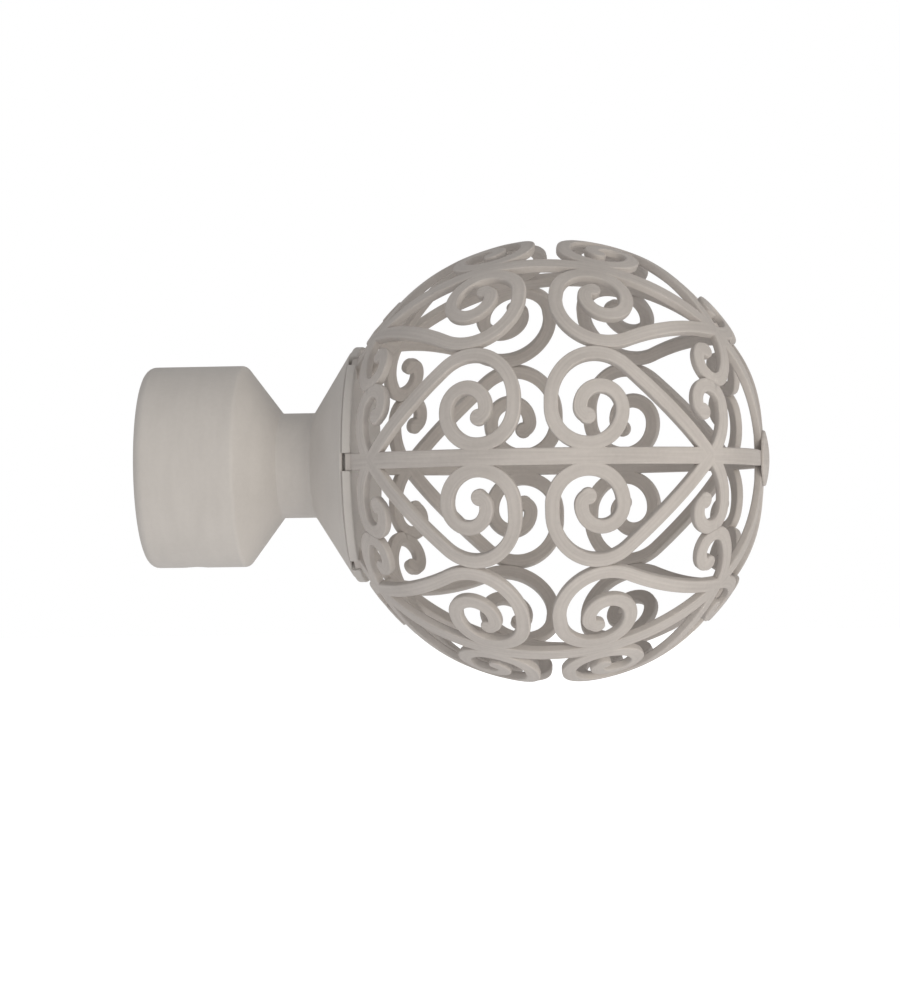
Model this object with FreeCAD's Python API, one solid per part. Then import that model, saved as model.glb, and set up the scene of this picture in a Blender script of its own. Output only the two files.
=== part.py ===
import FreeCAD, Part
import math
import os

# Curtain pole finial: an open scrollwork ball on a turned collar, in millimetres.
# The pole's axis is X, and the pole enters at X = 0 and stops at the socket's floor.
# The ball is towards +X, petal_1 faces -Y, and Z is up.

# Driving dimensions of the collar
pole_diameter = 28.0
pole_clearance = 0.1
socket_wall = 3.4
socket_depth = 15.0
barrel_length = 17.3
barrel_rounding = 1.7
shoulder_rounding = 1.2
taper_length = 6.4
neck_radius = 9.1
neck_length = 5.8
flange_length = 7.2

# Driving dimensions of the scrollwork ball
ball_radius = 38.4
sheet_thickness = 1.35
petal_count = 6
rib_width = 2.9
band_width = 2.5
pole_flat = 2.3
pole_flat_power = 10
plate_radius = 20.4
plate_thickness = 1.5
plate_margin = 0.4
tab_thickness = 1.4
tab_clearance = 0.1
button_radius = 4.8
button_height = 1.2
button_edge = 0.5
button_margin = 0.5

# Driving dimensions of the fasteners: an M6 stud and an M4 grub screw
stud_radius = 3.0
stud_engagement = 14.0
stud_tip_gap = 0.5
thread_clearance = 0.05
grub_radius = 2.0
grub_length = 3.0
grub_key = 2.0
grub_key_depth = 1.5
grub_position = 8.0
grub_setback = 0.2

# Driving dimensions of the petal's scrolls, measured on the ball's surface
curl_margin = 0.8
curl_foot_radius = 12.0
curl_foot_slope = 40.5
curl_radius = 3.15
heart_slope = 135.0
lobe_radius = 8.3
lobe_flank = 1.45
coil_radius = 6.2
coil_merge = 0.6
eye_radius = 3.7
tip_gap_radius = 0.35
tip_sweep = 75.0
bulb_radius = 1.45
bulb_sides = 6

# How far the flat facets of pressed and rounded surfaces may lie inside the true curve
facet_depth = 0.33

# Places that follow from the dimensions above
origin = FreeCAD.Vector(0, 0, 0)
pole_axis = FreeCAD.Vector(1, 0, 0)
bore_radius = pole_diameter / 2 + pole_clearance
barrel_radius = bore_radius + socket_wall
neck_start = barrel_length + taper_length
flange_start = neck_start + neck_length
plate_left = flange_start + flange_length
plate_right = plate_left + plate_thickness
foot_radius = plate_radius - plate_margin
ball_x = plate_right + math.sqrt(ball_radius ** 2 - foot_radius ** 2)
foot_arc = ball_radius * math.acos(foot_radius / ball_radius)
inner_scale = 1 - sheet_thickness / ball_radius
half_sector = math.pi / petal_count
longest_facet = math.sqrt(8 * ball_radius * facet_depth)
tip_radius = band_width / 2 + tip_gap_radius
stud_hole_radius = stud_radius + thread_clearance


def domed_radius(rise):
    """Distance from the ball's centre to its surface, where rise is the sine of the polar angle."""
    return ball_radius - pole_flat * max(rise, 0) ** pole_flat_power


land_polar = math.acos((button_radius + button_margin) / (ball_radius - pole_flat))
land_height = domed_radius(math.sin(land_polar)) * math.sin(land_polar)


def turned(corners):
    """Solid of revolution about the X axis from its (x, radius) corners."""
    points = [FreeCAD.Vector(x, r, 0) for x, r in corners]
    section = Part.Face(Part.makePolygon(points + points[:1]))
    return section.revolve(origin, pole_axis, 360)


def facets(radius, turn):
    """How many chords an arc needs, from its radius and its turn in degrees."""
    widest = 2 * math.acos(1 - min(facet_depth / radius, 0.5))
    return math.ceil(abs(math.radians(turn)) / widest)


def eased(centre, radius, first, last):
    """Corners along a rounding, between two directions in degrees from its centre."""
    steps = facets(radius, last - first)
    angles = [math.radians(first + (last - first) * k / steps) for k in range(steps + 1)]
    return [(centre[0] + radius * math.cos(a), centre[1] + radius * math.sin(a)) for a in angles]


def cylinder_x(radius, start, end):
    """Cylinder on the X axis from start to end."""
    return Part.makeCylinder(radius, end - start, FreeCAD.Vector(start, 0, 0), pole_axis)


def around(shape, k):
    """Copy of petal_1's shape at the place of the petal that is k sectors further round."""
    copy = shape.copy()
    copy.rotate(origin, pole_axis, 360 * k / petal_count)
    return copy


def make_socket():
    """Collar turned from one bar: pole socket, taper, neck and flange, tapped for stud and grub screw."""
    taper_angle = math.degrees(math.atan2(barrel_radius - neck_radius, taper_length))
    ease = shoulder_rounding * math.tan(math.radians(taper_angle / 2))
    shoulder = (barrel_length - ease, barrel_radius - shoulder_rounding)
    rim = (barrel_rounding, barrel_radius - barrel_rounding)
    corners = [(0, bore_radius), (socket_depth, bore_radius), (socket_depth, 0), (plate_left, 0)]
    corners += [(plate_left, plate_radius), (flange_start, neck_radius), (neck_start, neck_radius)]
    corners += eased(shoulder, shoulder_rounding, 90 - taper_angle, 90)
    corners += eased(rim, barrel_rounding, 90, 180)
    tapping = Part.makeCylinder(
        grub_radius + thread_clearance,
        barrel_radius,
        FreeCAD.Vector(grub_position, 0, 0),
        FreeCAD.Vector(0, 0, -1),
    )
    stud_hole = cylinder_x(stud_hole_radius, plate_left - stud_engagement - stud_tip_gap, plate_left)
    return turned(corners).cut(tapping).cut(stud_hole)


def make_stud():
    """Headless threaded stud, fixed in the plate and screwed into the collar's neck."""
    return cylinder_x(stud_radius, plate_left - stud_engagement, plate_right)


def tab_block(clearance, outside):
    """Block through the plate's thickness where petal_1's tab sits, grown by a clearance."""
    inside = foot_radius - tab_thickness - clearance
    width = rib_width + 2 * clearance
    corner = FreeCAD.Vector(plate_left, -outside, -width / 2)
    return Part.makeBox(plate_thickness, outside - inside, width, corner)


def make_base_plate():
    """Disc between flange and ball, with a rim notch for each petal's tab."""
    plate = cylinder_x(plate_radius, plate_left, plate_right)
    plate = plate.cut(cylinder_x(stud_hole_radius, plate_left, plate_right))
    for k in range(petal_count):
        plate = plate.cut(around(tab_block(tab_clearance, plate_radius), k))
    return plate


def edge_points(start, heading, moves, side):
    """One edge of a strip, at a distance to the left of a path of lines (length, 0) and arcs (radius, turn)."""
    x, y = start
    angle = math.radians(heading)
    points = [(x - side * math.sin(angle), y + side * math.cos(angle))]
    for size, turn in moves:
        steps = facets(size - side, turn) if turn else math.ceil(size / longest_facet)
        part = math.radians(turn) / steps
        chord = 2 * size * math.sin(part / 2) if turn else size / steps
        for step in range(steps):
            x += chord * math.cos(angle + part / 2)
            y += chord * math.sin(angle + part / 2)
            angle += part
            points.append((x - side * math.sin(angle), y + side * math.cos(angle)))
    return points


def strip(start, heading, moves, width):
    """Outline of a strip of constant width along a path that turns left, anticlockwise."""
    right = edge_points(start, heading, moves, -width / 2)
    left = edge_points(start, heading, moves, width / 2)
    return right + left[::-1]


def scroll(start, heading, moves):
    """Outlines of a strip and of the small bulb at its free end."""
    u, v = edge_points(start, heading, moves, 0)[-1]
    ahead = heading + sum(turn for size, turn in moves)
    turns = [math.radians(ahead + 360 * k / bulb_sides) for k in range(bulb_sides)]
    bulb = [(u + bulb_radius * math.cos(a), v + bulb_radius * math.sin(a)) for a in turns]
    return [strip(start, heading, moves, band_width), bulb]


def scroll_root():
    """Where a heart and its small curls spring from the rib, so that the curls stay clear of the plate."""
    reach = curl_foot_radius * (1 - math.sin(math.radians(curl_foot_slope)))
    return foot_arc - curl_margin - band_width / 2 - reach


def small_curl():
    """The small scroll between a heart's point and the end of the petal."""
    moves = [
        (curl_foot_radius, 90 - curl_foot_slope),
        (curl_radius, 180),
        (tip_radius, tip_sweep),
    ]
    return scroll((scroll_root(), 0), curl_foot_slope, moves)


def heart_half():
    """One half of a heart: a straight side, the lobe, and a coil that runs in to an eye."""
    slope = math.radians(heart_slope)
    coil_height = (rib_width + band_width) / 2 - coil_merge
    lobe_height = coil_height + coil_radius + lobe_flank
    side_length = (lobe_height - lobe_radius * math.cos(slope)) / math.sin(slope)
    moves = [
        (side_length, 0),
        (lobe_radius, 270 - heart_slope),
        (lobe_flank, 0),
        (coil_radius, 180),
        (eye_radius, 180),
        (tip_radius, tip_sweep),
    ]
    return scroll((scroll_root(), 0), heart_slope, moves)


def rib():
    """Outline of the strip from behind the plate's face to the ball's far pole."""
    start = -foot_arc - 2 * sheet_thickness
    land = ball_radius * land_polar
    pole = ball_radius * math.pi / 2
    return strip((start, 0), 0, [(land - start, 0), (pole - land, 0)], rib_width)


def flat_face(points):
    """Flat face inside a closed outline of (u, v) points."""
    vectors = [FreeCAD.Vector(u, v, 0) for u, v in points]
    return Part.Face(Part.makePolygon(vectors + vectors[:1]))


def quarters(points):
    """The same outline on each quarter of the petal, all anticlockwise."""
    copies = []
    for along, across in ((1, 1), (-1, 1), (1, -1), (-1, -1)):
        copy = [(along * u, across * v) for u, v in points]
        copies.append(copy if along * across > 0 else copy[::-1])
    return copies


def petal_pattern():
    """The petal's flat pattern, as one face with its openings."""
    strips = []
    for points in heart_half() + small_curl():
        strips.extend(flat_face(copy) for copy in quarters(points))
    return flat_face(rib()).multiFuse(strips).removeSplitter()


def on_ball(u, v, scale):
    """Point of the ball's surface, u along petal_1's rib from the equator and v across it."""
    axial = math.cos(v / ball_radius) * math.sin(u / ball_radius)
    outward = math.cos(v / ball_radius) * math.cos(u / ball_radius)
    across = math.sin(v / ball_radius)
    distance = domed_radius(axial)
    if axial > 0:
        distance = min(distance, land_height / axial)
    distance *= scale
    return FreeCAD.Vector(ball_x + distance * axial, -distance * outward, distance * across)


def dished(pattern):
    """Solid sheet made by pressing the flat pattern on to the ball, its edges square to the sheet."""
    points, triangles = pattern.tessellate(facet_depth)
    outer = [on_ball(p.x, p.y, 1) for p in points]
    inner = [on_ball(p.x, p.y, inner_scale) for p in points]
    polygons = []
    borders = set()
    for a, b, c in triangles:
        polygons.append([outer[a], outer[b], outer[c]])
        polygons.append([inner[a], inner[c], inner[b]])
        borders.update([(a, b), (b, c), (c, a)])
    for a, b in borders:
        if (b, a) not in borders:
            polygons.append([outer[a], inner[a], inner[b], outer[b]])
    shell = Part.makeShell([Part.Face(Part.makePolygon(p + p[:1])) for p in polygons])
    shell.sewShape()
    return Part.makeSolid(shell)


def make_petal():
    """petal_1: the dished sheet, trimmed to its sector of the ball and given its tab."""
    reach = 2 * ball_radius
    half_width = reach * math.tan(half_sector)
    corners = [
        FreeCAD.Vector(plate_right, 0, 0),
        FreeCAD.Vector(plate_right, -reach, half_width),
        FreeCAD.Vector(plate_right, -reach, -half_width),
    ]
    sector = Part.Face(Part.makePolygon(corners + corners[:1])).extrude(pole_axis * reach)
    sheet = dished(petal_pattern()).common(sector)
    return sheet.fuse(tab_block(0, foot_radius)).removeSplitter().Solids[0]


def make_end_button():
    """Domed button on the flat where the ribs meet at the far pole."""
    seat = ball_x + land_height
    dome_height = button_height - button_edge
    dome_radius = (button_radius ** 2 + dome_height ** 2) / (2 * dome_height)
    dome_centre = FreeCAD.Vector(seat + button_height - dome_radius, 0, 0)
    blank = cylinder_x(button_radius, seat, seat + button_height)
    return blank.common(Part.makeSphere(dome_radius, dome_centre))


def make_grub_screw():
    """Headless screw in the underside of the barrel that grips the pole."""
    corner = grub_key / math.sqrt(3)
    angles = [math.radians(60 * k) for k in range(7)]
    key = Part.Face(Part.makePolygon([corner * FreeCAD.Vector(math.cos(a), math.sin(a), 0) for a in angles]))
    outer_end = FreeCAD.Vector(grub_position, 0, -bore_radius - grub_setback - grub_length)
    body = Part.makeCylinder(grub_radius, grub_length, outer_end)
    key.translate(outer_end)
    return body.cut(key.extrude(FreeCAD.Vector(0, 0, grub_key_depth)))


def build():
    """Every piece of the finial by its name."""
    pieces = {
        "socket": make_socket(),
        "stud": make_stud(),
        "base_plate": make_base_plate(),
        "end_button": make_end_button(),
        "grub_screw": make_grub_screw(),
    }
    petal = make_petal()
    for k in range(petal_count):
        pieces["petal_%d" % (k + 1)] = around(petal, k)
    return pieces


os.makedirs("parts", exist_ok=True)
for name, piece in build().items():
    piece.exportStep("parts/%s.step" % name)
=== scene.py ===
import math

import bmesh
import bpy
from bpy.props import FloatProperty, FloatVectorProperty, IntProperty, PointerProperty
from mathutils import Matrix, Vector


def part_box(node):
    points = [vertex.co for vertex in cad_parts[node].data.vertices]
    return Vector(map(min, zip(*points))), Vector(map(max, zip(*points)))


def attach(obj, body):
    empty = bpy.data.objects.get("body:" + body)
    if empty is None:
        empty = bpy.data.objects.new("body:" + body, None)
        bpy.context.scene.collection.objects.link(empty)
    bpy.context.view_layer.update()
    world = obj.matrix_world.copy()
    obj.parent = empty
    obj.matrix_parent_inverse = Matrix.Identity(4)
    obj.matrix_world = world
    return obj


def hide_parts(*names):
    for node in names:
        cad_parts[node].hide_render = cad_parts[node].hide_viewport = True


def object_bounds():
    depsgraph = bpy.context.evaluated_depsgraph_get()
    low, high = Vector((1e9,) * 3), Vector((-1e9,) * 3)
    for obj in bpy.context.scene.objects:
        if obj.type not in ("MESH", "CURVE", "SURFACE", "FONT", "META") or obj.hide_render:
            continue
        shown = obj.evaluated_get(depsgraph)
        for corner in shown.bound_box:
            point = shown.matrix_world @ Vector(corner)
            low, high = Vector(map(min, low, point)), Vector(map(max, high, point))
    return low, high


bl_info = {
    "name": "Scrollwork finial",
    "version": (1, 0, 0),
    "blender": (4, 5, 0),
    "location": "View3D > Sidebar > Finial",
    "description": "Dresses a curtain pole finial: turned collar, plate, scrollwork petals and fasteners",
    "category": "Object",
}

# The frame, and the sizes that follow from its nodes, in metres
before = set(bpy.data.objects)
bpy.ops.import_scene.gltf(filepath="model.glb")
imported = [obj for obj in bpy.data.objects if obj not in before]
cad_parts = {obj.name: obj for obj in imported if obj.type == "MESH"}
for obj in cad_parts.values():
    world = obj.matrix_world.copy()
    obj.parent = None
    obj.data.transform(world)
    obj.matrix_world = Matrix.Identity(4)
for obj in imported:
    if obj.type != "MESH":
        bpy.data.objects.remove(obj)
cad_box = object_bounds()
plate_low, plate_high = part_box("base_plate")
stud_low, stud_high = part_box("stud")
grub_low, grub_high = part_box("grub_screw")
button_low, button_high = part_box("end_button")
BODY = "root"

# How finely the pieces are faceted
CORNER_STEPS = 6
STRIP_CORNER_STEPS = 3
BULB_SIDES = 24
CROWN_STEPS = 12
HOLE_SIDES = 32
KEY_SIDES = 6
THREAD_SIDES = 32
THREAD_ROWS = 8
SMOOTH_ANGLE = math.radians(35.0)
WELD_DISTANCE = 1e-7

# Depth of a thread in pitches, and length of a cutter in thicknesses of what it cuts
THREAD_DEPTH = 0.6
CUTTER_LENGTH = 3

# How far along the axis the flat under the button may begin, in ball radii
LAND_START = 0.5

# Detail of broad and of fine noise, and the least square of a distance from the axis
BROAD_DETAIL = 3.0
FINE_DETAIL = 2.0
AXIS_GUARD = 1e-8

# Shifts of a strip's brush marks for its start along, its start across and its heading
STROKE_SHIFTS = (3.7, 2.1, 0.05)


def length(label, description, default):
    """A property for a length in metres."""
    return FloatProperty(name=label, description=description, default=default, unit="LENGTH", precision=5)


def angle(label, description, degrees):
    """A property for an angle."""
    return FloatProperty(name=label, description=description, default=math.radians(degrees), subtype="ANGLE")


def share(label, description, default):
    """A property for a plain number."""
    return FloatProperty(name=label, description=description, default=default)


def colour(label, description, default):
    """A property for a colour."""
    return FloatVectorProperty(
        name=label, description=description, default=default, subtype="COLOR", min=0, max=1
    )


class FinialCollarSettings(bpy.types.PropertyGroup):
    """Sizes of the turned collar and the plate on its flange."""

    bore_radius: length("Bore radius", "Inside radius of the pole socket", 0.0141)
    bore_depth: length("Bore depth", "Depth of the pole socket", 0.015)
    barrel_radius: length("Barrel radius", "Outside radius of the pole socket", 0.0175)
    barrel_length: length("Barrel length", "Length of the straight part of the socket", 0.0173)
    taper_length: length("Taper length", "Length of the taper from barrel to neck", 0.0064)
    neck_radius: length("Neck radius", "Radius of the neck", 0.0091)
    neck_length: length("Neck length", "Length of the neck", 0.0058)
    rim_rounding: length("Rim rounding", "Rounding of the barrel's open end", 0.0017)
    shoulder_rounding: length("Shoulder rounding", "Rounding between barrel and taper", 0.0012)
    root_rounding: length("Neck rounding", "Rounding at both ends of the neck", 0.0006)
    edge_rounding: length("Edge rounding", "Rounding of the thin edges", 0.0003)
    hole_clearance: length("Hole clearance", "Gap round the threaded pieces", 0.00005)
    stud_gap: length("Stud gap", "Gap behind the stud's inner end", 0.0005)
    notch_clearance: length("Notch clearance", "Gap round a petal's tab in the plate's rim", 0.0001)
    button_edge: share("Button edge", "Share of the button's height that its straight rim takes", 0.42)
    button_rounding: length("Button rounding", "Rounding between the button's rim and its dome", 0.00036)
    button_seat: length("Button seat", "Rounding of the button's seat", 0.00015)
    turns: IntProperty(name="Facets round", description="Facets round the turned pieces", default=128)


class FinialPetalSettings(bpy.types.PropertyGroup):
    """Sizes of the scrollwork petals, measured on the ball's surface."""

    count: IntProperty(name="Petals", description="Number of petals round the ball", default=6)
    ball_radius: length("Ball radius", "Radius of the ball's outside", 0.0384)
    pole_flat: length("Flattening", "How far the far pole lies inside the ball", 0.0023)
    pole_power: share("Flattening power", "How closely the flattening keeps to the pole", 10.0)
    foot_radius: length("Foot radius", "Distance from the axis to the foot of a petal", 0.02)
    thickness: length("Thickness", "Thickness of the sheet", 0.00135)
    tab_thickness: length("Tab thickness", "Thickness of the tab in the plate's rim", 0.0014)
    tab_overlap: length("Tab overlap", "How far the tab runs in to the sheet", 0.0002)
    tab_recess: length("Tab recess", "How far the tab stops short of the flange", 0.0006)
    rib_width: length("Rib width", "Width of the rib", 0.0029)
    band_width: length("Band width", "Width of the scrolls", 0.0025)
    edge_rounding: length("Edge rounding", "Rounding of the strips' edges", 0.0003)
    curl_margin: length("Curl margin", "Gap between the small curls and the plate", 0.0008)
    curl_foot_radius: length("Curl foot", "Radius of a small curl where it leaves the rib", 0.012)
    curl_foot_slope: angle("Curl slope", "Angle at which a small curl leaves the rib", 40.5)
    curl_radius: length("Curl radius", "Radius of a small curl", 0.00315)
    heart_slope: angle("Heart slope", "Angle at which a heart's side leaves the rib", 135.0)
    lobe_radius: length("Lobe radius", "Radius of a heart's lobe", 0.0083)
    lobe_flank: length("Lobe flank", "Straight run between lobe and coil", 0.00145)
    coil_radius: length("Coil radius", "Radius of the coil inside a lobe", 0.0062)
    coil_merge: length("Coil merge", "How far a coil runs in to the rib", 0.0006)
    eye_radius: length("Eye radius", "Radius of the coil's inner turn", 0.0037)
    tip_gap: length("Tip gap", "Inside radius of the last bend", 0.00035)
    tip_sweep: angle("Tip sweep", "Turn of the last bend", 75.0)
    bulb_radius: length("Bulb radius", "Radius of a scroll's round end", 0.00145)
    seam_gap: length("Seam gap", "Gap between neighbouring petals", 0.00003)
    step: length("Step", "Longest step along a strip", 0.0006)
    bend_step: angle("Bend step", "Largest turn in one step", 9.0)


class FinialFinishSettings(bpy.types.PropertyGroup):
    """Colours and textures of the finishes."""

    collar_light: colour("Light collar paint", "Collar paint where it lies thick", (0.593, 0.56, 0.53))
    collar_dark: colour("Dark collar paint", "Collar paint in the brush marks", (0.483, 0.454, 0.428))
    scroll_light: colour("Light scroll paint", "Scroll paint where it lies thick", (0.59, 0.546, 0.512))
    scroll_dark: colour("Dark scroll paint", "Scroll paint in the brush marks", (0.395, 0.362, 0.338))
    collar_brush: share("Collar brush", "How strongly the collar's brush marks show", 0.6)
    scroll_brush: share("Scroll brush", "How strongly the scrolls' brush marks show", 0.85)
    mottle: share("Mottle", "How strongly the paint's broad mottling shows", 0.8)
    grain: share("Grain", "How strongly the paint's fine grain shows", 0.3)
    mottle_scale: share("Mottle scale", "Mottles to a metre", 70.0)
    grain_scale: share("Grain scale", "Grains to a metre", 1400.0)
    strokes_along: share("Strokes along", "Brush marks to a metre along a strip", 80.0)
    strokes_across: share("Strokes across", "Brush marks to a metre across a strip", 2400.0)
    collar_strokes: share("Collar strokes", "Brush marks to a metre along the collar's axis", 500.0)
    collar_turn: share("Collar turn", "How often a brush mark changes round the collar", 1.5)
    roughness: share("Roughness", "Roughness of the paint", 0.7)
    shine: share("Shine", "Strength of the paint's highlights", 0.15)
    brush_gloss: share("Brush gloss", "How much the brush marks vary the roughness", 0.25)
    mottle_gloss: share("Mottle gloss", "How much the mottling varies the roughness", 0.1)
    relief: share("Relief", "How strongly the marks catch the light", 0.35)
    brush_depth: length("Brush depth", "Depth of the brush marks", 0.00004)
    brush_height: share("Brush height", "Share of the depth that the brush marks take", 0.8)
    grain_height: share("Grain height", "Share of the depth that the grain takes", 0.5)
    steel: colour("Steel", "Plain steel of the fasteners", (0.42, 0.42, 0.43))
    steel_shade: share("Steel shade", "Brightness of the steel in its turning marks", 0.8)
    steel_scale: share("Steel scale", "Turning marks to a metre", 2500.0)
    steel_roughness: share("Steel roughness", "Roughness of the steel", 0.38)
    steel_gloss: share("Steel gloss", "How much the turning marks vary the roughness", 0.3)


class FinialStageSettings(bpy.types.PropertyGroup):
    """Camera, light and floor."""

    camera_turn: angle("Camera turn", "How far the camera stands towards the ball's far end", 6.75)
    camera_rise: angle("Camera rise", "How far the camera looks down", -0.95)
    camera_roll: angle("Camera roll", "Roll of the camera", 0.75)
    camera_distance: length("Camera distance", "Distance from the ball's centre", 0.8297)
    ball_right: length("Ball to the right", "Ball centre's place right of the picture's middle", 0.01803)
    ball_above: length("Ball above", "Ball centre's place above the picture's middle", 0.00664)
    picture_size: length("Picture height", "Height that the picture takes in at the ball's centre", 0.17286)
    floor_drop: length("Floor drop", "Gap between the finial and the floor", 0.06)
    floor_size: length("Floor size", "Side of the floor", 12.0)
    floor: colour("Floor", "Pale floor", (0.92, 0.92, 0.92))
    floor_shade: share("Floor shade", "Brightness of the floor's darker patches", 0.98)
    floor_scale: share("Floor scale", "Patches to a metre of floor", 3.0)
    floor_roughness: share("Floor roughness", "Roughness of the floor", 0.9)
    backdrop: colour("Backdrop", "What is seen behind the finial", (1.0, 1.0, 1.0))
    key_power: FloatProperty(name="Key light", description="Power of the light", default=8.2, unit="POWER")
    key_size: length("Key size", "Side of the key light", 0.45)
    key_right: length("Key to the right", "Key light's place right of the ball", 0.58)
    key_front: length("Key in front", "Key light's place in front of the ball", 0.69)
    key_below: length("Key below", "Key light's place below the ball", 0.16)
    key_tint: colour("Key tint", "Faint warmth of the key light", (1.0, 0.95, 0.86))
    room_light: share("Room light", "Strength of the light from all round", 0.57)
    floor_glow: share("Floor glow", "How much the floor lights the finial of itself", 0.3)
    floor_white: share("Floor white", "How much the floor glows to the camera", 0.75)


class FinialSettings(bpy.types.PropertyGroup):
    """All settings of the finial."""

    collar: PointerProperty(type=FinialCollarSettings)
    petals: PointerProperty(type=FinialPetalSettings)
    finish: PointerProperty(type=FinialFinishSettings)
    stage: PointerProperty(type=FinialStageSettings)


class Value:
    """A node socket that adds Math nodes when it is used in an expression."""

    def __init__(self, maker, socket):
        self.maker = maker
        self.socket = socket

    def math(self, operation, *others):
        """Result of a Math node with this value first."""
        return self.maker.math(operation, self, *others)

    def __add__(self, other):
        return self.maker.math("ADD", self, other)

    def __radd__(self, other):
        return self.maker.math("ADD", other, self)

    def __sub__(self, other):
        return self.maker.math("SUBTRACT", self, other)

    def __rsub__(self, other):
        return self.maker.math("SUBTRACT", other, self)

    def __mul__(self, other):
        return self.maker.math("MULTIPLY", self, other)

    def __rmul__(self, other):
        return self.maker.math("MULTIPLY", other, self)

    def __truediv__(self, other):
        return self.maker.math("DIVIDE", self, other)

    def __rtruediv__(self, other):
        return self.maker.math("DIVIDE", other, self)

    def __pow__(self, other):
        return self.maker.math("POWER", self, other)

    def __rpow__(self, other):
        return self.maker.math("POWER", other, self)

    def __neg__(self):
        return self.maker.math("MULTIPLY", self, -1)


class NodeMaker:
    """Adds nodes to one node tree."""

    def __init__(self, tree):
        self.tree = tree

    def feed(self, socket, given):
        """Links or sets one input. A list is linked one after another."""
        if isinstance(given, list):
            for each in given:
                self.feed(socket, each)
            return
        if isinstance(given, Value):
            given = given.socket
        if isinstance(given, bpy.types.NodeSocket):
            self.tree.links.new(given, socket)
        else:
            socket.default_value = given

    def add(self, kind, settings=None, sockets=None, output=0):
        """One node of a kind: its settings are set first, then its sockets. Returns one of its outputs."""
        node = self.tree.nodes.new(kind)
        for name, given in (settings or {}).items():
            setattr(node, name, given)
        for key, given in (sockets or {}).items():
            self.feed(node.inputs[key], given)
        return Value(self, node.outputs[output]) if node.outputs else node

    def math(self, operation, *values):
        """One Math node."""
        return self.add("ShaderNodeMath", {"operation": operation}, dict(enumerate(values)))

    def parts(self, vector):
        """The three numbers of a vector."""
        first = self.add("ShaderNodeSeparateXYZ", None, {0: vector})
        return [Value(self, socket) for socket in first.socket.node.outputs]

    def vector(self, x, y, z):
        """A vector from three numbers."""
        return self.add("ShaderNodeCombineXYZ", None, {0: x, 1: y, 2: z})

    def between(self, factor, first, second):
        """A colour between two colours."""
        sockets = {"Factor": factor, 6: (*first, 1), 7: (*second, 1)}
        return self.add("ShaderNodeMix", {"data_type": "RGBA"}, sockets, 2)

    def noise(self, vector, scale, detail):
        """Noise about zero."""
        sockets = {"Vector": vector, "Scale": scale, "Detail": detail}
        return self.add("ShaderNodeTexNoise", {"noise_dimensions": "3D"}, sockets) - 0.5


def new_material(name):
    """A material with an empty tree, the maker for the tree, and the places on the object."""
    material = bpy.data.materials.new(name)
    material.use_nodes = True
    material.node_tree.nodes.clear()
    make = NodeMaker(material.node_tree)
    return material, make, make.add("ShaderNodeTexCoord", None, None, "Object")


def finish_material(make, sockets):
    """Principled shader and output at the end of a material's tree."""
    shader = make.add("ShaderNodeBsdfPrincipled", None, sockets)
    make.add("ShaderNodeOutputMaterial", None, {"Surface": shader})


def painted(name, finish, colours, strokes, strength):
    """Satin stone-grey paint, mottled, with brush marks along the given strokes."""
    material, make, place = new_material(name)
    brush = make.noise(strokes(make, place, finish), 1.0, BROAD_DETAIL)
    mottle = make.noise(place, finish.mottle_scale, BROAD_DETAIL)
    grain = make.noise(place, finish.grain_scale, FINE_DETAIL)
    thickness = 0.5 + mottle * finish.mottle + brush * strength + grain * finish.grain
    thickness = thickness.math("MINIMUM", 1.0).math("MAXIMUM", 0.0)
    height = brush * finish.brush_height + grain * finish.grain_height
    marks = {"Strength": finish.relief, "Distance": finish.brush_depth, "Height": height}
    roughness = finish.roughness + brush * finish.brush_gloss + mottle * finish.mottle_gloss
    finish_material(
        make,
        {
            "Base Color": make.between(thickness, *colours),
            "Roughness": roughness,
            "Specular IOR Level": finish.shine,
            "Normal": make.add("ShaderNodeBump", None, marks),
        },
    )
    return material


def strip_strokes(make, _place, finish):
    """Places for noise, drawn out along a strip so that it turns to strokes."""
    along, across, level = make.parts(make.add("ShaderNodeUVMap", {"uv_map": "strip"}))
    return make.vector(along * finish.strokes_along, across * finish.strokes_across, level)


def collar_strokes(make, place, finish):
    """Places for noise, drawn out round the collar so that it turns to strokes."""
    x, y, z = make.parts(place)
    reach = (y * y + z * z + AXIS_GUARD).math("SQRT")
    turn = finish.collar_turn
    return make.vector(x * finish.collar_strokes, y / reach * turn, z / reach * turn)


def bare_steel(finish):
    """Plain steel with turning marks."""
    material, make, place = new_material("turned_steel")
    marks = make.noise(place, finish.steel_scale, FINE_DETAIL)
    shaded = [finish.steel_shade * part for part in finish.steel]
    tint = make.between(marks + 0.5, shaded, finish.steel)
    roughness = finish.steel_roughness + marks * finish.steel_gloss
    finish_material(make, {"Base Color": tint, "Metallic": 1.0, "Roughness": roughness})
    return material


FINISHES = {}


def finishes(finish):
    """The three finishes by their slots, made once."""
    if not FINISHES:
        colours = (finish.collar_dark, finish.collar_light)
        collar = painted("brushed_collar_paint", finish, colours, collar_strokes, finish.collar_brush)
        colours = (finish.scroll_dark, finish.scroll_light)
        scroll = painted("brushed_scroll_paint", finish, colours, strip_strokes, finish.scroll_brush)
        FINISHES.update(collar_paint=collar, scroll_paint=scroll, fastener_steel=bare_steel(finish))
    return FINISHES


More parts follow.
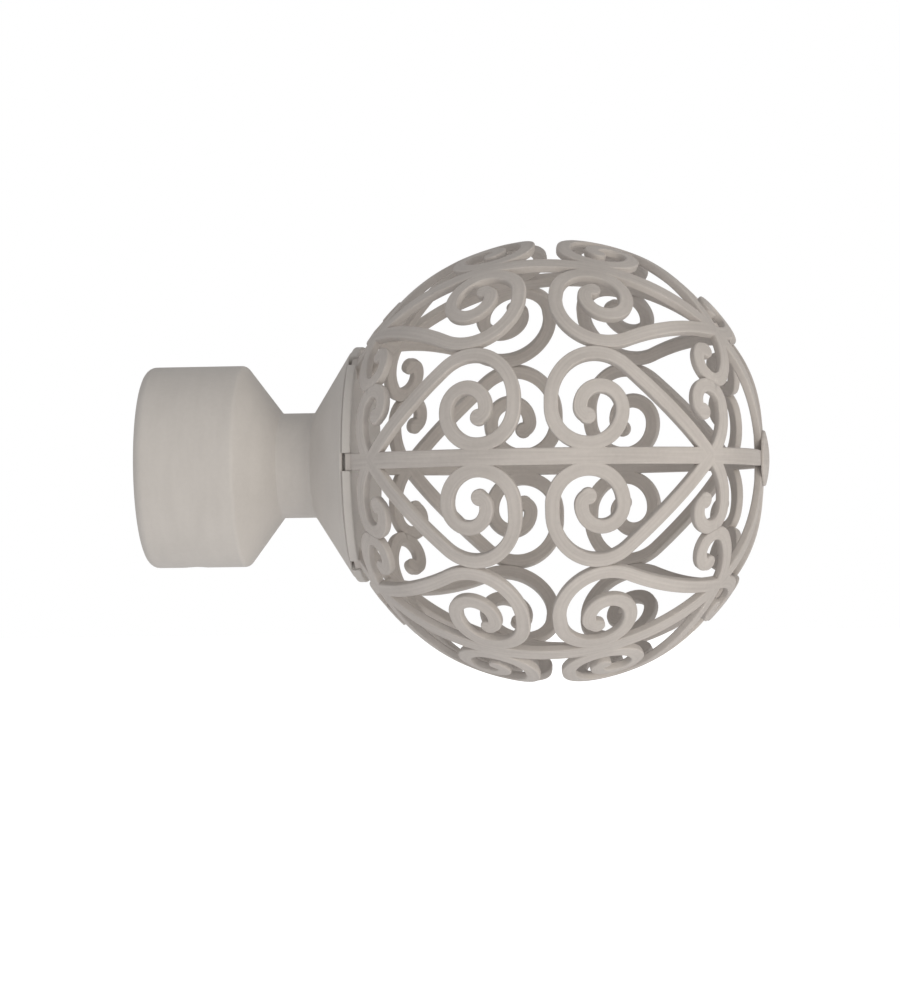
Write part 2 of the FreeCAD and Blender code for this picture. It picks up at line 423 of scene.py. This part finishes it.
def rounded(corners, steps=CORNER_STEPS):
    """Outline through (x, radius, rounding) corners, with each rounding as an arc."""
    points = []
    for k, (x, r, rounding) in enumerate(corners):
        corner = Vector((x, r))
        if not rounding:
            points.append(corner)
            continue
        before = (Vector(corners[k - 1][:2]) - corner).normalized()
        after = (Vector(corners[(k + 1) % len(corners)][:2]) - corner).normalized()
        half = before.angle(after) / 2
        centre = corner + (before + after).normalized() * (rounding / math.sin(half))
        first = corner + before * (rounding / math.tan(half)) - centre
        last = corner + after * (rounding / math.tan(half)) - centre
        for step in range(steps + 1):
            arm = first.slerp(last, step / steps).normalized()
            points.append(centre + arm * rounding)
    return points


def filled(name, bm):
    """Mesh from finished faces, turned outward."""
    bmesh.ops.recalc_face_normals(bm, faces=bm.faces)
    mesh = bpy.data.meshes.new(name)
    bm.to_mesh(mesh)
    bm.free()
    return mesh


def lathe(name, outline, turns, closed):
    """Mesh turned about the X axis from an outline of (x, radius) points."""
    bm = bmesh.new()
    verts = [bm.verts.new((x, -r, 0)) for x, r in outline]
    pairs = list(zip(verts, verts[1:]))
    if closed:
        pairs.append((verts[-1], verts[0]))
    edges = [bm.edges.new(pair) for pair in pairs]
    bmesh.ops.spin(
        bm, geom=verts + edges, cent=(0, 0, 0), axis=(1, 0, 0), angle=math.tau, steps=turns, use_merge=True
    )
    bmesh.ops.remove_doubles(bm, verts=bm.verts, dist=WELD_DISTANCE)
    return filled(name, bm)


def new_object(name, data):
    """Object in the scene for a mesh, a light or a camera."""
    piece = bpy.data.objects.new(name, data)
    bpy.context.scene.collection.objects.link(piece)
    return piece


def prism(name, centre, radius, depth, sides):
    """Upright cutter with a regular outline, about its centre."""
    bm = bmesh.new()
    place = Matrix.Translation(centre)
    bmesh.ops.create_cone(
        bm, cap_ends=True, segments=sides, radius1=radius, radius2=radius, depth=depth, matrix=place
    )
    return new_object(name, filled(name, bm))


def made_plain(piece):
    """The piece with its modifiers applied, smooth except at its edges."""
    bpy.context.view_layer.update()
    graph = bpy.context.evaluated_depsgraph_get()
    mesh = bpy.data.meshes.new_from_object(piece.evaluated_get(graph), depsgraph=graph)
    piece.modifiers.clear()
    piece.data = mesh
    mesh.shade_smooth()
    mesh.set_sharp_from_angle(angle=SMOOTH_ANGLE)
    return piece


def cut(piece, cutter):
    """The piece with a cutter's shape taken out of it."""
    modifier = piece.modifiers.new("cut", "BOOLEAN")
    modifier.operation = "DIFFERENCE"
    modifier.solver = "MANIFOLD"
    modifier.object = cutter
    made_plain(piece)
    bpy.data.objects.remove(cutter)
    return piece


def evened(piece):
    """The piece with normals that follow its large faces."""
    modifier = piece.modifiers.new("even", "WEIGHTED_NORMAL")
    modifier.keep_sharp = True
    return made_plain(piece)


def dressed(piece, slot, *nodes):
    """Rides a finished piece on the part, in its finish, in place of its nodes."""
    if not piece.data.polygons:
        raise RuntimeError("%s has no faces" % piece.name)
    piece.data.materials.clear()
    piece.data.materials.append(FINISHES[slot])
    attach(piece, BODY)
    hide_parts(*nodes)


def geometry_tree(name, inputs):
    """Geometry node tree with named inputs: its maker, and its inputs by name."""
    tree = bpy.data.node_groups.new(name, "GeometryNodeTree")
    for label, kind in [("Geometry", "NodeSocketGeometry"), *inputs]:
        tree.interface.new_socket(name=label, in_out="INPUT", socket_type=kind)
    tree.interface.new_socket(name="Geometry", in_out="OUTPUT", socket_type="NodeSocketGeometry")
    make = NodeMaker(tree)
    entry = tree.nodes.new("NodeGroupInput")
    given = {socket.name: Value(make, socket) for socket in entry.outputs if socket.name}
    return make, given


def end_tree(make, geometry, material):
    """Ends a tree in real geometry with its material."""
    real = make.add("GeometryNodeRealizeInstances", None, {"Geometry": geometry})
    painted_mesh = make.add("GeometryNodeSetMaterial", None, {"Geometry": real, "Material": material})
    make.add("NodeGroupOutput", None, {0: painted_mesh})
    return make.tree


def with_tree(piece, tree, values):
    """Adds a tree's modifier to a piece and sets its inputs."""
    modifier = piece.modifiers.new(tree.name, "NODES")
    modifier.node_group = tree
    for item in tree.interface.items_tree:
        if item.in_out == "INPUT" and item.name in values:
            modifier[item.identifier] = values[item.name]
    return piece


def notch_tree():
    """Tree that cuts a plate's rim notches, one for each petal."""
    make, given = geometry_tree(
        "rim_notches",
        [
            ("Count", "NodeSocketInt"),
            ("Size", "NodeSocketVector"),
            ("Place", "NodeSocketVector"),
            ("Material", "NodeSocketMaterial"),
        ],
    )
    block = make.add("GeometryNodeMeshCube", None, {"Size": given["Size"]})
    block = make.add("GeometryNodeTransform", None, {"Geometry": block, "Translation": given["Place"]})
    places = make.add("GeometryNodePoints", None, {"Count": given["Count"]})
    index = make.add("GeometryNodeInputIndex")
    turn = make.vector(index * math.tau / given["Count"], 0.0, 0.0)
    blocks = make.add(
        "GeometryNodeInstanceOnPoints", None, {"Points": places, "Instance": block, "Rotation": turn}
    )
    plate = make.add(
        "GeometryNodeMeshBoolean",
        {"operation": "DIFFERENCE", "solver": "MANIFOLD"},
        {"Mesh 1": given["Geometry"], "Mesh 2": blocks},
    )
    return end_tree(make, plate, given["Material"])


def press_tree():
    """Tree that joins a blank's strips, presses them on to the ball, adds the tab and turns the petal."""
    numbers = ["Ball radius", "Ball centre", "Flattening", "Flattening power", "Land height", "Half sector"]
    numbers += ["Seam gap", "Foot", "Turn"]
    inputs = [(label, "NodeSocketFloat") for label in numbers]
    inputs += [("Tab size", "NodeSocketVector"), ("Tab place", "NodeSocketVector")]
    make, given = geometry_tree("press_petal", [*inputs, ("Material", "NodeSocketMaterial")])
    radius = given["Ball radius"]
    island = make.add("GeometryNodeInputMeshIsland")
    strips = make.add(
        "GeometryNodeSplitToInstances",
        {"domain": "POINT"},
        {"Geometry": given["Geometry"], "Group ID": island},
    )
    blank = make.add(
        "GeometryNodeMeshBoolean", {"operation": "UNION", "solver": "MANIFOLD"}, {"Mesh 2": strips}
    )
    u, v, depth = make.parts(make.add("GeometryNodeInputPosition"))
    along = u / radius
    seam = (given["Half sector"].math("TANGENT") * along.math("COSINE")).math("ARCTANGENT")
    seam = (seam - given["Seam gap"] / radius).math("MAXIMUM", 0.0)
    across = (v / radius).math("MINIMUM", seam).math("MAXIMUM", -seam)
    axial = across.math("COSINE") * along.math("SINE")
    outward = across.math("COSINE") * along.math("COSINE")
    domed = radius - given["Flattening"] * axial.math("MAXIMUM", 0.0) ** given["Flattening power"]
    domed = domed.math("MINIMUM", given["Land height"] / axial.math("MAXIMUM", LAND_START))
    reach = domed * (1 + depth / radius)
    x = (given["Ball centre"] + reach * axial).math("MAXIMUM", given["Foot"])
    place = make.vector(x, -(reach * outward), reach * across.math("SINE"))
    sheet = make.add("GeometryNodeSetPosition", None, {"Geometry": blank, "Position": place})
    tab = make.add("GeometryNodeMeshCube", None, {"Size": given["Tab size"]})
    tab = make.add("GeometryNodeTransform", None, {"Geometry": tab, "Translation": given["Tab place"]})
    joined = make.add("GeometryNodeJoinGeometry", None, {0: [sheet, tab]})
    turned = make.add(
        "GeometryNodeTransform",
        None,
        {"Geometry": joined, "Rotation": make.vector(given["Turn"], 0.0, 0.0)},
    )
    return end_tree(make, turned, given["Material"])


def walk(start, heading, moves, sizes):
    """(u, v, heading) along a path of straight runs (length, 0) and left-hand arcs (radius, turn)."""
    u, v = start
    places = [(u, v, heading)]
    for size, turn in moves:
        run = size * turn if turn else size
        steps = max(math.ceil(run / sizes.step), math.ceil(turn / sizes.bend_step), 1)
        part = turn / steps
        chord = 2 * size * math.sin(part / 2) if turn else size / steps
        for step in range(steps):
            u += chord * math.cos(heading + part / 2)
            v += chord * math.sin(heading + part / 2)
            heading += part
            places.append((u, v, heading))
    return places


def strip_section(width, thickness, rounding):
    """Section of a strip with rounded edges, as (across, depth) points."""
    half = width / 2
    corners = [(-half, 0.0, rounding), (-half, -thickness, rounding)]
    corners += [(half, -thickness, rounding), (half, 0.0, rounding)]
    return rounded(corners, STRIP_CORNER_STEPS)


def add_strip(bm, uv_layer, places, section, mirror):
    """Closed strip along a path, with its own places along and across as its UV map."""
    mirror_u, mirror_v = mirror
    rings = []
    for u, v, heading in places:
        ring = []
        for across, depth in section:
            side = Vector((-math.sin(heading), math.cos(heading))) * across
            ring.append(bm.verts.new((mirror_u * (u + side.x), mirror_v * (v + side.y), depth)))
        rings.append(ring)
    count = len(section)
    reach = [start_shift(places)]
    for first, second in zip(places, places[1:]):
        reach.append(reach[-1] + math.dist(first[:2], second[:2]))
    for k in range(len(rings) - 1):
        for j in range(count):
            n = (j + 1) % count
            corners = [(k, j), (k + 1, j), (k + 1, n), (k, n)]
            face = bm.faces.new([rings[a][b] for a, b in corners])
            for loop, (a, b) in zip(face.loops, corners):
                loop[uv_layer].uv = (reach[a], section[b][0])
    bm.faces.new(rings[0])
    bm.faces.new(rings[-1])


def start_shift(places):
    """Shift that keeps the brush marks of different strips apart."""
    return sum(shift * part for shift, part in zip(STROKE_SHIFTS, places[0]))


def add_bulb(bm, uv_layer, place, radius, edge, mirror):
    """Round end of a scroll, as a small disc with the edge of its strip, as (inset, depth) points."""
    u, v, _heading = place
    mirror_u, mirror_v = mirror
    turns = [math.tau * k / BULB_SIDES for k in range(BULB_SIDES)]
    rings = []
    for inset, depth in edge:
        reach = radius - inset
        spots = [(u + reach * math.cos(turn), v + reach * math.sin(turn)) for turn in turns]
        rings.append([bm.verts.new((mirror_u * a, mirror_v * b, depth)) for a, b in spots])
    for face in bridged(bm, rings):
        for loop in face.loops:
            loop[uv_layer].uv = loop.vert.co.xy


def bridged(bm, rings):
    """Faces between rings of points, closed at both ends."""
    faces = []
    for low, high in zip(rings, rings[1:]):
        for j in range(len(low)):
            n = (j + 1) % len(low)
            faces.append(bm.faces.new((low[j], low[n], high[n], high[j])))
    faces.append(bm.faces.new(rings[0]))
    faces.append(bm.faces.new(rings[-1]))
    return faces


def heart_moves(sizes):
    """Moves along half a heart: side, lobe, flank, coil, eye and tip."""
    coil_height = (sizes.rib_width + sizes.band_width) / 2 - sizes.coil_merge
    lobe_height = coil_height + sizes.coil_radius + sizes.lobe_flank
    slope = sizes.heart_slope
    side = (lobe_height - sizes.lobe_radius * math.cos(slope)) / math.sin(slope)
    return [
        (side, 0),
        (sizes.lobe_radius, 1.5 * math.pi - slope),
        (sizes.lobe_flank, 0),
        (sizes.coil_radius, math.pi),
        (sizes.eye_radius, math.pi),
        (sizes.band_width / 2 + sizes.tip_gap, sizes.tip_sweep),
    ]


def curl_moves(sizes):
    """Moves along a small curl: foot, curl and tip."""
    return [
        (sizes.curl_foot_radius, math.pi / 2 - sizes.curl_foot_slope),
        (sizes.curl_radius, math.pi),
        (sizes.band_width / 2 + sizes.tip_gap, sizes.tip_sweep),
    ]


def scroll_root(sizes):
    """Where the scrolls spring from the rib."""
    foot_arc = sizes.ball_radius * math.acos(sizes.foot_radius / sizes.ball_radius)
    reach = sizes.curl_foot_radius * (1 - math.sin(sizes.curl_foot_slope))
    return foot_arc - sizes.curl_margin - sizes.band_width / 2 - reach


def foot_drop(sizes):
    """Distance along the axis from the ball's centre to the petals' feet."""
    return math.sqrt(sizes.ball_radius ** 2 - sizes.foot_radius ** 2)


def flat_blank(sizes):
    """A petal before it is pressed: closed strips for the rib, the hearts and the small curls."""
    bm = bmesh.new()
    uv_layer = bm.loops.layers.uv.new("strip")
    thickness = sizes.thickness
    inner_radius = sizes.ball_radius - thickness
    foot = -sizes.ball_radius * math.asin(foot_drop(sizes) / inner_radius)
    pole = sizes.ball_radius * math.pi / 2
    rib = walk((foot, 0.0), 0.0, [(pole - foot, 0)], sizes)
    add_strip(bm, uv_layer, rib, strip_section(sizes.rib_width, thickness, sizes.edge_rounding), (1, 1))
    root = (scroll_root(sizes), 0.0)
    paths = [
        walk(root, sizes.heart_slope, heart_moves(sizes), sizes),
        walk(root, sizes.curl_foot_slope, curl_moves(sizes), sizes),
    ]
    section = strip_section(sizes.band_width, thickness, sizes.edge_rounding)
    edge = [(sizes.band_width / 2 - across, depth) for across, depth in section if across > 0]
    for places in paths:
        for mirror in ((1, 1), (-1, 1), (1, -1), (-1, -1)):
            add_strip(bm, uv_layer, places, section, mirror)
            add_bulb(bm, uv_layer, places[-1], sizes.bulb_radius, edge, mirror)
    return filled("petal_blank", bm)


def threaded_rod(name, radius, pitch, extent):
    """Closed rod with a screw thread, along +Z from 0 to its extent."""
    depth = THREAD_DEPTH * pitch
    rows = round(extent / pitch * THREAD_ROWS)
    bm = bmesh.new()
    rings = []
    for row in range(rows + 1):
        height = extent * row / rows
        lead = min(height, extent - height, depth)
        ring = []
        for k in range(THREAD_SIDES):
            phase = (height / pitch - k / THREAD_SIDES) % 1.0
            groove = depth * abs(2 * phase - 1)
            reach = min(radius - groove, radius - depth + lead)
            turn = math.tau * k / THREAD_SIDES
            ring.append(bm.verts.new((reach * math.cos(turn), reach * math.sin(turn), height)))
        rings.append(ring)
    bridged(bm, rings)
    return filled(name, bm)


class FINIAL_OT_collar(bpy.types.Operator):
    """Makes the turned collar with its socket, neck, flange and tapped holes"""

    bl_idname = "finial.collar"
    bl_label = "Make collar"

    def execute(self, context):
        sizes = context.scene.finial.collar
        finishes(context.scene.finial.finish)
        neck_start = sizes.barrel_length + sizes.taper_length
        flange_start = neck_start + sizes.neck_length
        flange_end = plate_low.x
        stud_hole = stud_high.z + sizes.hole_clearance
        hole_floor = stud_low.x - sizes.stud_gap
        outline = rounded(
            [
                (sizes.bore_depth, 0, 0),
                (sizes.bore_depth, sizes.bore_radius, sizes.edge_rounding),
                (0, sizes.bore_radius, sizes.edge_rounding),
                (0, sizes.barrel_radius, sizes.rim_rounding),
                (sizes.barrel_length, sizes.barrel_radius, sizes.shoulder_rounding),
                (neck_start, sizes.neck_radius, sizes.root_rounding),
                (flange_start, sizes.neck_radius, sizes.root_rounding),
                (flange_end, plate_high.z, sizes.edge_rounding),
                (flange_end, stud_hole, sizes.edge_rounding),
                (hole_floor, stud_hole, 0),
                (hole_floor, 0, 0),
            ]
        )
        collar = new_object("turned_collar", lathe("turned_collar", outline, sizes.turns, False))
        grub_x = (grub_low.x + grub_high.x) / 2
        grub_radius = (grub_high.x - grub_low.x) / 2 + sizes.hole_clearance
        wall_middle = -(sizes.bore_radius + sizes.barrel_radius) / 2
        reach = CUTTER_LENGTH * (sizes.barrel_radius - sizes.bore_radius)
        cut(collar, prism("tapping", (grub_x, 0, wall_middle), grub_radius, reach, HOLE_SIDES))
        dressed(evened(collar), "collar_paint", "socket")
        return {"FINISHED"}


class FINIAL_OT_plate(bpy.types.Operator):
    """Makes the plate between flange and ball, with a notch in its rim for each petal"""

    bl_idname = "finial.plate"
    bl_label = "Make plate"

    def execute(self, context):
        sizes = context.scene.finial.collar
        petals = context.scene.finial.petals
        materials = finishes(context.scene.finial.finish)
        hole = stud_high.z + sizes.hole_clearance
        edge = sizes.edge_rounding
        corners = [(plate_low.x, hole, edge), (plate_low.x, plate_high.z, edge)]
        corners += [(plate_high.x, plate_high.z, edge), (plate_high.x, hole, edge)]
        plate = new_object("notched_plate", lathe("notched_plate", rounded(corners), sizes.turns, True))
        inside = petals.foot_radius - petals.tab_thickness - sizes.notch_clearance
        outside = plate_high.z + sizes.notch_clearance
        depth = CUTTER_LENGTH * (plate_high.x - plate_low.x)
        width = petals.rib_width + 2 * sizes.notch_clearance
        values = {
            "Count": petals.count,
            "Size": (depth, outside - inside, width),
            "Place": ((plate_low.x + plate_high.x) / 2, -(inside + outside) / 2, 0.0),
            "Material": materials["collar_paint"],
        }
        made_plain(with_tree(plate, notch_tree(), values))
        dressed(evened(plate), "collar_paint", "base_plate")
        return {"FINISHED"}


class FINIAL_OT_petals(bpy.types.Operator):
    """Makes the scrollwork petals: one flat blank, pressed on to the ball once for each petal"""

    bl_idname = "finial.petals"
    bl_label = "Make petals"

    def execute(self, context):
        sizes = context.scene.finial.petals
        materials = finishes(context.scene.finial.finish)
        blank = flat_blank(sizes)
        tree = press_tree()
        centre = plate_high.x + foot_drop(sizes)
        tab_start = plate_low.x + sizes.tab_recess
        tab_end = plate_high.x + sizes.tab_overlap
        tab_middle = sizes.foot_radius - sizes.tab_thickness / 2
        values = {
            "Ball radius": sizes.ball_radius,
            "Ball centre": centre,
            "Flattening": sizes.pole_flat,
            "Flattening power": sizes.pole_power,
            "Land height": button_low.x - centre,
            "Half sector": math.pi / sizes.count,
            "Seam gap": sizes.seam_gap,
            "Foot": plate_high.x,
            "Tab size": (tab_end - tab_start, sizes.tab_thickness, sizes.rib_width),
            "Tab place": ((tab_start + tab_end) / 2, -tab_middle, 0.0),
            "Material": materials["scroll_paint"],
        }
        for k in range(sizes.count):
            values["Turn"] = math.tau * k / sizes.count
            petal = new_object("scroll_petal_%d" % (k + 1), blank.copy())
            made_plain(with_tree(petal, tree, values))
            dressed(evened(petal), "scroll_paint", "petal_%d" % (k + 1))
        return {"FINISHED"}


class FINIAL_OT_button(bpy.types.Operator):
    """Makes the domed button where the ribs meet"""

    bl_idname = "finial.button"
    bl_label = "Make button"

    def execute(self, context):
        sizes = context.scene.finial.collar
        finishes(context.scene.finial.finish)
        radius = button_high.z
        height = button_high.x - button_low.x
        dome = height * (1 - sizes.button_edge)
        dome_radius = (radius ** 2 + dome ** 2) / (2 * dome)
        widest = math.asin(radius / dome_radius)
        arc = [widest * k / CROWN_STEPS for k in range(CROWN_STEPS, -1, -1)]
        dome_centre = button_high.x - dome_radius
        crown = [(dome_centre + dome_radius * math.cos(a), dome_radius * math.sin(a), 0) for a in arc]
        crown[0] = (*crown[0][:2], sizes.button_rounding)
        rim = [(button_low.x, 0, 0), (button_low.x, radius, sizes.button_seat)]
        button = new_object("domed_button", lathe("domed_button", rounded(rim + crown), sizes.turns, False))
        strip = button.data.uv_layers.new(name="strip")
        for loop in button.data.loops:
            strip.data[loop.index].uv = button.data.vertices[loop.vertex_index].co.yz
        dressed(evened(button), "scroll_paint", "end_button")
        return {"FINISHED"}


class FINIAL_OT_fasteners(bpy.types.Operator):
    """Makes the threaded stud and the grub screw"""

    bl_idname = "finial.fasteners"
    bl_label = "Make fasteners"

    stud_pitch: length("Stud pitch", "Pitch of the stud's thread", 0.001)
    grub_pitch: length("Grub screw pitch", "Pitch of the grub screw's thread", 0.0007)
    key_size: length("Key size", "Width across the flats of the grub screw's socket", 0.002)
    key_depth: length("Key depth", "Depth of the grub screw's socket", 0.0015)

    def execute(self, context):
        finishes(context.scene.finial.finish)
        rod = threaded_rod("threaded_stud", stud_high.z, self.stud_pitch, stud_high.x - stud_low.x)
        rod.transform(Matrix.Translation((stud_low.x, 0, 0)) @ Matrix.Rotation(math.pi / 2, 4, "Y"))
        stud = new_object("threaded_stud", rod)
        dressed(made_plain(stud), "fastener_steel", "stud")
        radius = (grub_high.x - grub_low.x) / 2
        middle = (grub_low.x + grub_high.x) / 2
        screw = threaded_rod("socket_grub_screw", radius, self.grub_pitch, grub_high.z - grub_low.z)
        screw.transform(Matrix.Translation((middle, 0, grub_low.z)))
        grub = new_object("socket_grub_screw", screw)
        corner = self.key_size / math.sqrt(3)
        cut(grub, prism("key", (middle, 0, grub_low.z), corner, 2 * self.key_depth, KEY_SIDES))
        dressed(grub, "fastener_steel", "grub_screw")
        return {"FINISHED"}


def pale_floor(stage):
    """Floor finish: pale, faintly uneven and a little lit of itself."""
    material, make, place = new_material("pale_floor")
    uneven = make.noise(place, stage.floor_scale, FINE_DETAIL)
    shaded = [stage.floor_shade * part for part in stage.floor]
    tint = make.between(uneven + 0.5, shaded, stage.floor)
    seen = make.add("ShaderNodeLightPath", None, None, "Is Camera Ray")
    glow = seen * stage.floor_white + (1 - seen) * stage.floor_glow
    finish_material(
        make,
        {
            "Base Color": tint,
            "Roughness": stage.floor_roughness,
            "Emission Color": make.vector(glow, glow, glow),
            "Emission Strength": 1.0,
        },
    )
    return material


class FINIAL_OT_stage(bpy.types.Operator):
    """Makes the floor, the lights and the camera"""

    bl_idname = "finial.stage"
    bl_label = "Make stage"

    def execute(self, context):
        stage = context.scene.finial.stage
        petals = context.scene.finial.petals
        ball = Vector((plate_high.x + foot_drop(petals), 0, 0))
        self.make_floor(stage)
        self.make_camera(context, stage, ball)
        self.make_key_light(stage, ball)
        self.make_room(context, stage)
        return {"FINISHED"}

    def make_floor(self, stage):
        """Level floor, well below the finial."""
        half = stage.floor_size / 2
        height = cad_box[0].z - stage.floor_drop
        mesh = bpy.data.meshes.new("floor")
        corners = [(-half, -half, height), (half, -half, height), (half, half, height), (-half, half, height)]
        mesh.from_pydata(corners, [], [(0, 1, 2, 3)])
        mesh.materials.append(pale_floor(stage))
        new_object("floor", mesh)

    def make_key_light(self, stage, ball):
        """Soft square light that looks at the ball."""
        light = bpy.data.lights.new("key_light", "AREA")
        light.shape = "SQUARE"
        light.size = stage.key_size
        light.energy = stage.key_power
        light.color = stage.key_tint
        offset = Vector((stage.key_right, -stage.key_front, -stage.key_below))
        lamp = new_object("key_light", light)
        lamp.location = ball + offset
        lamp.rotation_euler = (-offset).to_track_quat("-Z", "Y").to_euler()

    def make_camera(self, context, stage, ball):
        """Camera at the photo's angle, which looks past the ball so that it stands right of the middle."""
        turn, rise, roll = stage.camera_turn, stage.camera_rise, stage.camera_roll
        level = Vector((math.sin(turn), -math.cos(turn), 0))
        right = Vector((math.cos(turn), math.sin(turn), 0))
        up = Vector((0, 0, 1)) * math.cos(rise) - level * math.sin(rise)
        back = level * math.cos(rise) + Vector((0, 0, 1)) * math.sin(rise)
        level_right = right
        right = level_right * math.cos(roll) - up * math.sin(roll)
        up = level_right * math.sin(roll) + up * math.cos(roll)
        place = ball - right * stage.ball_right - up * stage.ball_above + back * stage.camera_distance
        camera = bpy.data.cameras.new("camera")
        camera.sensor_fit = "AUTO"
        camera.lens = camera.sensor_width * stage.camera_distance / stage.picture_size
        rig = new_object("camera", camera)
        rig.matrix_world = Matrix.Translation(place) @ Matrix((right, up, back)).transposed().to_4x4()
        context.scene.camera = rig

    def make_room(self, context, stage):
        """Even light from all round, and a bright backdrop that only the camera sees."""
        world = bpy.data.worlds.new("room")
        world.use_nodes = True
        world.node_tree.nodes.clear()
        make = NodeMaker(world.node_tree)
        seen = make.add("ShaderNodeLightPath", None, None, "Is Camera Ray")
        white = (*stage.backdrop, 1)
        light = make.add("ShaderNodeBackground", None, {"Color": white, "Strength": stage.room_light})
        backdrop = make.add("ShaderNodeBackground", None, {"Color": white, "Strength": 1.0})
        mixed = make.add("ShaderNodeMixShader", None, {0: seen, 1: light, 2: backdrop})
        make.add("ShaderNodeOutputWorld", None, {"Surface": mixed})
        context.scene.world = world
        context.scene.view_settings.view_transform = "Standard"


class FINIAL_PT_panel(bpy.types.Panel):
    """Buttons for each group of pieces, and their settings"""

    bl_idname = "FINIAL_PT_panel"
    bl_label = "Scrollwork finial"
    bl_space_type = "VIEW_3D"
    bl_region_type = "UI"
    bl_category = "Finial"

    def draw(self, context):
        for operator in OPERATORS:
            self.layout.operator(operator.bl_idname)
        for group in ("collar", "petals", "finish", "stage"):
            settings = getattr(context.scene.finial, group)
            box = self.layout.box()
            box.label(text=group.capitalize())
            for name in settings.__annotations__:
                box.prop(settings, name)


SETTINGS = (
    FinialCollarSettings,
    FinialPetalSettings,
    FinialFinishSettings,
    FinialStageSettings,
    FinialSettings,
)
OPERATORS = (
    FINIAL_OT_collar,
    FINIAL_OT_plate,
    FINIAL_OT_petals,
    FINIAL_OT_button,
    FINIAL_OT_fasteners,
    FINIAL_OT_stage,
)


def register():
    """Registers the settings, the operators and the panel."""
    for each in (*SETTINGS, *OPERATORS, FINIAL_PT_panel):
        bpy.utils.register_class(each)
    bpy.types.Scene.finial = PointerProperty(type=FinialSettings)


def unregister():
    """Takes them away again."""
    del bpy.types.Scene.finial
    for each in (FINIAL_PT_panel, *reversed(OPERATORS), *reversed(SETTINGS)):
        bpy.utils.unregister_class(each)


def main():
    """Makes every piece and the stage."""
    register()
    bpy.ops.finial.collar()
    bpy.ops.finial.plate()
    bpy.ops.finial.petals()
    bpy.ops.finial.button()
    bpy.ops.finial.fasteners()
    bpy.ops.finial.stage()


if __name__ == "__main__":
    main()
